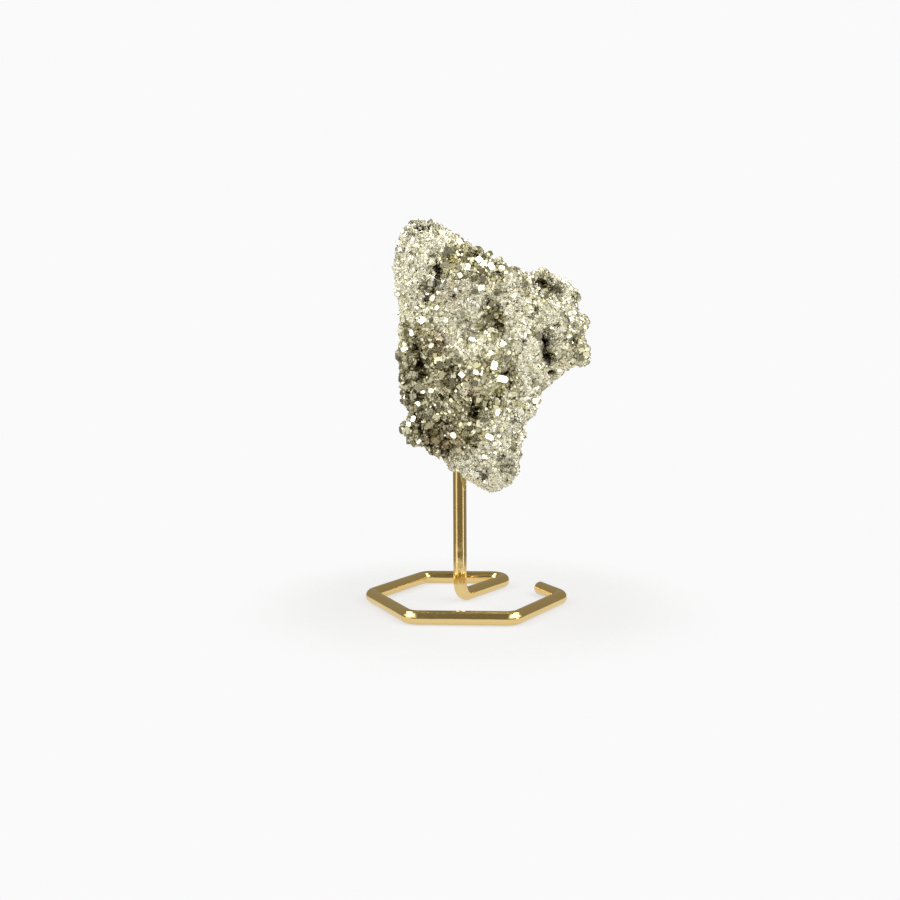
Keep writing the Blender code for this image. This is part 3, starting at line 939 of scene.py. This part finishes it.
def painted_shade_share(tree, place, gloom):
    """How much painted shade a place gets, from 0 to 1: from the skin's depth there, and in pits of a few
    crystals' width.
    """
    pitted = add_node(
        tree, "ShaderNodeTexNoise", {"Vector": place, "Scale": per_mm(PIT_SIZE), "Detail": 2.0}
    )
    pit = add_node(
        tree, "ShaderNodeMapRange",
        {"Value": pitted.outputs["Fac"], "From Min": PIT_RIM, "From Max": PIT_BOTTOM, "To Min": gloom,
         "To Max": gloom + PIT_SHARE},
    )
    depth = add_node(tree, "ShaderNodeAttribute", attribute_name="deep")
    deeper = add_node(
        tree, "ShaderNodeMath", {0: depth.outputs["Fac"], 1: pit.outputs[0]}, operation="ADD", use_clamp=True
    )
    return deeper.outputs[0]


def pyrite_colour(tree, place, tone, tones, gloom):
    """The tone, the coarse skin's cast, rust in blotches, and dark gaps of painted shade, one over the
    other.
    """
    coarse = add_node(tree, "ShaderNodeAttribute", attribute_name="coarse")
    cast = add_node(
        tree, "ShaderNodeMixRGB",
        {"Fac": coarse.outputs["Fac"], "Color1": crystal_tone(tree, tone, tones),
         "Color2": linear(COARSE_CAST)},
        blend_type="MULTIPLY",
    )
    stain = add_node(tree, "ShaderNodeAttribute", attribute_name="stain")
    blotch = add_node(
        tree, "ShaderNodeTexNoise", {"Vector": place, "Scale": per_mm(RUST_BLOTCH), "Detail": 2.0}
    )
    stained = add_node(
        tree, "ShaderNodeMath", {0: stain.outputs["Fac"], 1: blotch.outputs["Fac"]}, operation="MULTIPLY",
        use_clamp=True,
    )
    rusty = add_node(
        tree, "ShaderNodeMixRGB",
        {"Fac": stained.outputs[0], "Color1": cast.outputs[0], "Color2": linear(RUST)},
    )
    dark = add_node(
        tree, "ShaderNodeMixRGB",
        {"Fac": painted_shade_share(tree, place, gloom), "Color1": rusty.outputs[0], "Color2": linear(PAINTED_SHADE)},
    )
    return dark.outputs[0]


print("pits are", PIT_SIZE, "mm across, blotches of rust", RUST_BLOTCH, "mm")

# %% The three finishes of pyrite
DIMPLE_SIZE, DIMPLE_DEPTH = 0.9, 0.15 * MM  # growth marks, drawn coarser than they are so that they show
SUGAR_TONES = ("F2EFDC", "F6F3E6", "EEE9D0", "EFEBDA", "D9D5BE")
CRYSTAL_TONES = ("E3E1CC", "ECEBDA", "DAD5B4", "DFDDCC", "C4C1AB")


def pyrite_material(name, smoothest, roughest, tones, gloom):
    """Pyrite whose crystals go from smooth to rough. Gloom is painted shade laid over all of it, and below 0
    it takes some painted shade away.
    """
    material, tree, shader, place = metal_material(name)
    tone = add_node(tree, "ShaderNodeAttribute", attribute_name="tone").outputs["Fac"]
    tree.links.new(pyrite_colour(tree, place, tone, tones, gloom), shader.inputs["Base Color"])
    shader.inputs["Roughness"].default_value = smoothest
    if roughest > smoothest:
        rough = add_node(
            tree, "ShaderNodeMapRange", {"Value": tone, "To Min": smoothest, "To Max": roughest}
        )
        tree.links.new(rough.outputs[0], shader.inputs["Roughness"])
    dimples = add_node(
        tree, "ShaderNodeTexNoise", {"Vector": place, "Scale": per_mm(DIMPLE_SIZE), "Detail": 3.0}
    )
    uneven = add_node(
        tree, "ShaderNodeBump",
        {"Height": dimples.outputs["Fac"], "Strength": 0.35, "Distance": DIMPLE_DEPTH},
    )
    tree.links.new(uneven.outputs["Normal"], shader.inputs["Normal"])
    return material


# Grains of about a millimetre: edges and etched faces spread the light, so they look satin and pale, and
# they get a little less painted shade
sugar_finish = pyrite_material("pyrite sugar", 0.42, 0.64, SUGAR_TONES, gloom=-0.07)
# Grown faces: near to mirrors, each with its own grey, straw or cream
grown_finish = pyrite_material("pyrite crystals", 0.15, 0.4, CRYSTAL_TONES, gloom=0.0)
# The skin that shows between crystals: equally dull all over, and darkened all over with painted shade
gap_finish = pyrite_material("pyrite in the gaps", 0.4, 0.4, CRYSTAL_TONES, gloom=0.3)
print("finishes", [material.name for material in (sugar_finish, grown_finish, gap_finish)])

# %% [markdown]
# Each piece takes its finish and keeps its flat faces. All of them together stand for the one solid and ride
# on the one body there is.

# %% Finishes given out
for pieces, finish in ((sugar, sugar_finish), (grown, grown_finish), ([lump], gap_finish)):
    for piece in pieces:
        piece.data.materials.clear()
        piece.data.materials.append(finish)
        piece.data.shade_flat()
        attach(piece, "root")
        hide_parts("pyrite")
print("pyrite triangles in all", sum(triangles(piece) for piece in (*sugar, *grown, lump)))

# %% [markdown]
# ## The floor
# The specimen stands on pale paper. A paper sheet of even brightness would end in a visible edge against
# the backdrop, so the disc of floor is clear towards its rim, and the backdrop shows through. The paper
# gives off a little light of its own, as a sheet lit from all round does, which keeps its shadow soft and
# pale.

# %% The floor's disc
FLOOR_RADIUS = 400 * MM
FLOOR_GAP = 0.05 * MM  # below the rod, so that the two don't lie in one plane

bm = bmesh.new()
bmesh.ops.create_circle(bm, cap_ends=True, segments=96, radius=FLOOR_RADIUS)
bmesh.ops.translate(bm, vec=(0, 0, -FLOOR_GAP), verts=bm.verts)
floor = add_object("floor", bm)
floor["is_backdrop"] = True
print("the floor's disc is", round(2 * FLOOR_RADIUS / MM), "mm across")

# %% Matt paper
# Uncoated paper, pressed on felt: the eye gets an even pale tone with no highlight
FADE_START, FADE_END = 55 * MM, 115 * MM  # from the middle
PAPER_GLOW = 0.62

paper = bpy.data.materials.new("matt paper")
paper.use_nodes = True
tree = paper.node_tree
shader = tree.nodes["Principled BSDF"]
shader.inputs["Base Color"].default_value = linear("808080")
shader.inputs["Emission Color"].default_value = linear("FFFFFF")
shader.inputs["Emission Strength"].default_value = PAPER_GLOW
shader.inputs["Roughness"].default_value = 0.9
shader.inputs["Specular IOR Level"].default_value = 0.0
place = add_node(tree, "ShaderNodeTexCoord").outputs["Object"]
off_middle = add_node(tree, "ShaderNodeVectorMath", {0: place}, operation="LENGTH")
shown = add_node(
    tree, "ShaderNodeMapRange",
    {"Value": off_middle.outputs["Value"], "From Min": FADE_START, "From Max": FADE_END, "To Min": 1.0,
     "To Max": 0.0},
    interpolation_type="SMOOTHSTEP",
)
clear = add_node(tree, "ShaderNodeBsdfTransparent")
faded = add_node(
    tree, "ShaderNodeMixShader", {0: shown.outputs[0], 1: clear.outputs[0], 2: shader.outputs[0]}
)
tree.links.new(faded.outputs[0], tree.nodes["Material Output"].inputs[0])
floor.data.materials.append(paper)
print("the floor fades out from", round(FADE_START / MM), "to", round(FADE_END / MM), "mm from the middle")

# %% [markdown]
# ## The room
# A metal shows nothing but its surroundings, so the room matters more than the lamps. It is painted into
# the world by direction: white walls to the right and left and a white table below, all on the viewer's
# side, and a dim room otherwise. The dim strip between the two walls is what gives the rod its dark
# middle and the crystals that look forward their grey. The backdrop that the camera sees is a plain pale
# one, kept apart from what lights the scene by the Light Path node.

# %% The room's parts
# Along which part of the direction each part of the room comes in, from where to where
SHARES = {
    "right": ("X", 0.12, 0.45), "left": ("X", -0.12, -0.45), "up": ("Z", 0.05, 0.3),
    "down": ("Z", -0.15, -0.3), "front": ("Y", 0.2, -0.25), "behind": ("Y", -0.6, 0.7),
}

world = bpy.data.worlds.new("studio")
bpy.context.scene.world = world
world.use_nodes = True
tree = world.node_tree
tree.nodes.clear()
direction = add_node(tree, "ShaderNodeTexCoord").outputs["Generated"]
along = add_node(tree, "ShaderNodeSeparateXYZ", {"Vector": direction})
share = {}
for name, (axis, first, last) in SHARES.items():
    fade = add_node(
        tree, "ShaderNodeMapRange", {"Value": along.outputs[axis], "From Min": first, "From Max": last},
        interpolation_type="SMOOTHSTEP",
    )
    share[name] = fade.outputs[0]
print("the room's parts are", ", ".join(share))

# %% How bright the room is
RIGHT_WALL, LEFT_WALL, TABLE = 1.75, 1.4, 1.1
DIM, LESS_DIM_BEHIND = 0.2, 0.12  # the dim room in front, and how much brighter it is behind

right_wall = add_node(tree, "ShaderNodeMath", {0: share["right"], 1: RIGHT_WALL}, operation="MULTIPLY")
walls = add_node(
    tree, "ShaderNodeMath", {0: share["left"], 1: LEFT_WALL, 2: right_wall.outputs[0]},
    operation="MULTIPLY_ADD",
)
raised = add_node(tree, "ShaderNodeMath", {0: walls.outputs[0], 1: share["up"]}, operation="MULTIPLY")
with_table = add_node(
    tree, "ShaderNodeMath", {0: share["down"], 1: TABLE, 2: raised.outputs[0]}, operation="MULTIPLY_ADD"
)
white = add_node(tree, "ShaderNodeMath", {0: with_table.outputs[0], 1: share["front"]}, operation="MULTIPLY")
dim = add_node(
    tree, "ShaderNodeMath", {0: share["behind"], 1: LESS_DIM_BEHIND, 2: DIM}, operation="MULTIPLY_ADD"
)
glow = add_node(tree, "ShaderNodeMath", {0: dim.outputs[0], 1: white.outputs[0]}, operation="ADD")
print("the right wall is", round(RIGHT_WALL / DIM, 1), "times as bright as the dim room")

# %% The room's colour and the backdrop
BACKGROUND = "FAFAFA"
WARM_CORNERS = "FFF8E2"

how_white = add_node(tree, "ShaderNodeClamp", {"Value": white.outputs[0]})
warmth = add_node(
    tree, "ShaderNodeMixRGB",
    {"Fac": how_white.outputs[0], "Color1": linear(WARM_CORNERS), "Color2": linear("FFFFFF")},
)
path = add_node(tree, "ShaderNodeLightPath")
seen = add_node(tree, "ShaderNodeBackground", {"Color": linear(BACKGROUND), "Strength": 1.0})
room = add_node(tree, "ShaderNodeBackground", {"Color": warmth.outputs[0], "Strength": glow.outputs[0]})
either = add_node(
    tree, "ShaderNodeMixShader", {0: path.outputs["Is Camera Ray"], 1: room.outputs[0], 2: seen.outputs[0]}
)
add_node(tree, "ShaderNodeOutputWorld", {"Surface": either.outputs[0]})
print("the room has", len(tree.nodes), "nodes")

# %% [markdown]
# ## The lamps
# Large soft lamps do what the painted walls can't: they cast soft shadows and make single crystals flash.
# Two key lamps stand above to the left and right, two tall dim ones at table height put lines down the
# rod's sides, and two behind lift the edges of the lump. None stands near the middle, where it would
# spoil the rod's dark strip.

# %% The lamps
LAMP_DISTANCE = 1.2
LAMP_TARGET = Vector((0, 0, 0.1))
# Name, degrees round from the front and up from the table, width and height in metres, and watts
LAMPS = [
    ("right key", 60, 38, 0.9, 0.6, 5), ("left key", -58, 38, 0.8, 0.6, 3.6),
    ("left strip", -56, 0, 0.6, 0.9, 1.5), ("right strip", 62, 0, 0.3, 0.9, 1.2),
    ("back left", -110, 55, 0.4, 0.4, 3), ("back right", 110, 55, 0.4, 0.4, 3),
]


def softbox(name, azimuth, elevation, width, height, power):
    """A soft square lamp aimed at the lump. Azimuth 0 is straight in front, on the viewer's side."""
    a, e = math.radians(azimuth), math.radians(elevation)
    way = Vector((math.sin(a) * math.cos(e), -math.cos(a) * math.cos(e), math.sin(e)))
    data = bpy.data.lights.new(name, "AREA")
    data.shape = "RECTANGLE"
    data.size = width
    data.size_y = height
    data.energy = power
    lamp = bpy.data.objects.new(name, data)
    bpy.context.scene.collection.objects.link(lamp)
    aim = way.to_track_quat("Z", "Y").to_matrix().to_4x4()
    lamp.matrix_world = Matrix.Translation(LAMP_TARGET + way * LAMP_DISTANCE) @ aim
    lamp.visible_camera = False


for lamp in LAMPS:
    softbox(*lamp)
print(len(LAMPS), "lamps,", round(sum(lamp[-1] for lamp in LAMPS), 1), "watts")

# %% [markdown]
# ## Size
# Dressing must not change the size. The box of the solids was kept at the start, and the box of what is
# shown now is written beside it, so that the two can be compared.

# %% The two boxes
visual_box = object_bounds()
boxes = {"cad": cad_box, "visual": visual_box}
for name, (low, high) in boxes.items():
    print(name, "size in mm", [round((b - a) / MM, 1) for a, b in zip(low, high)])
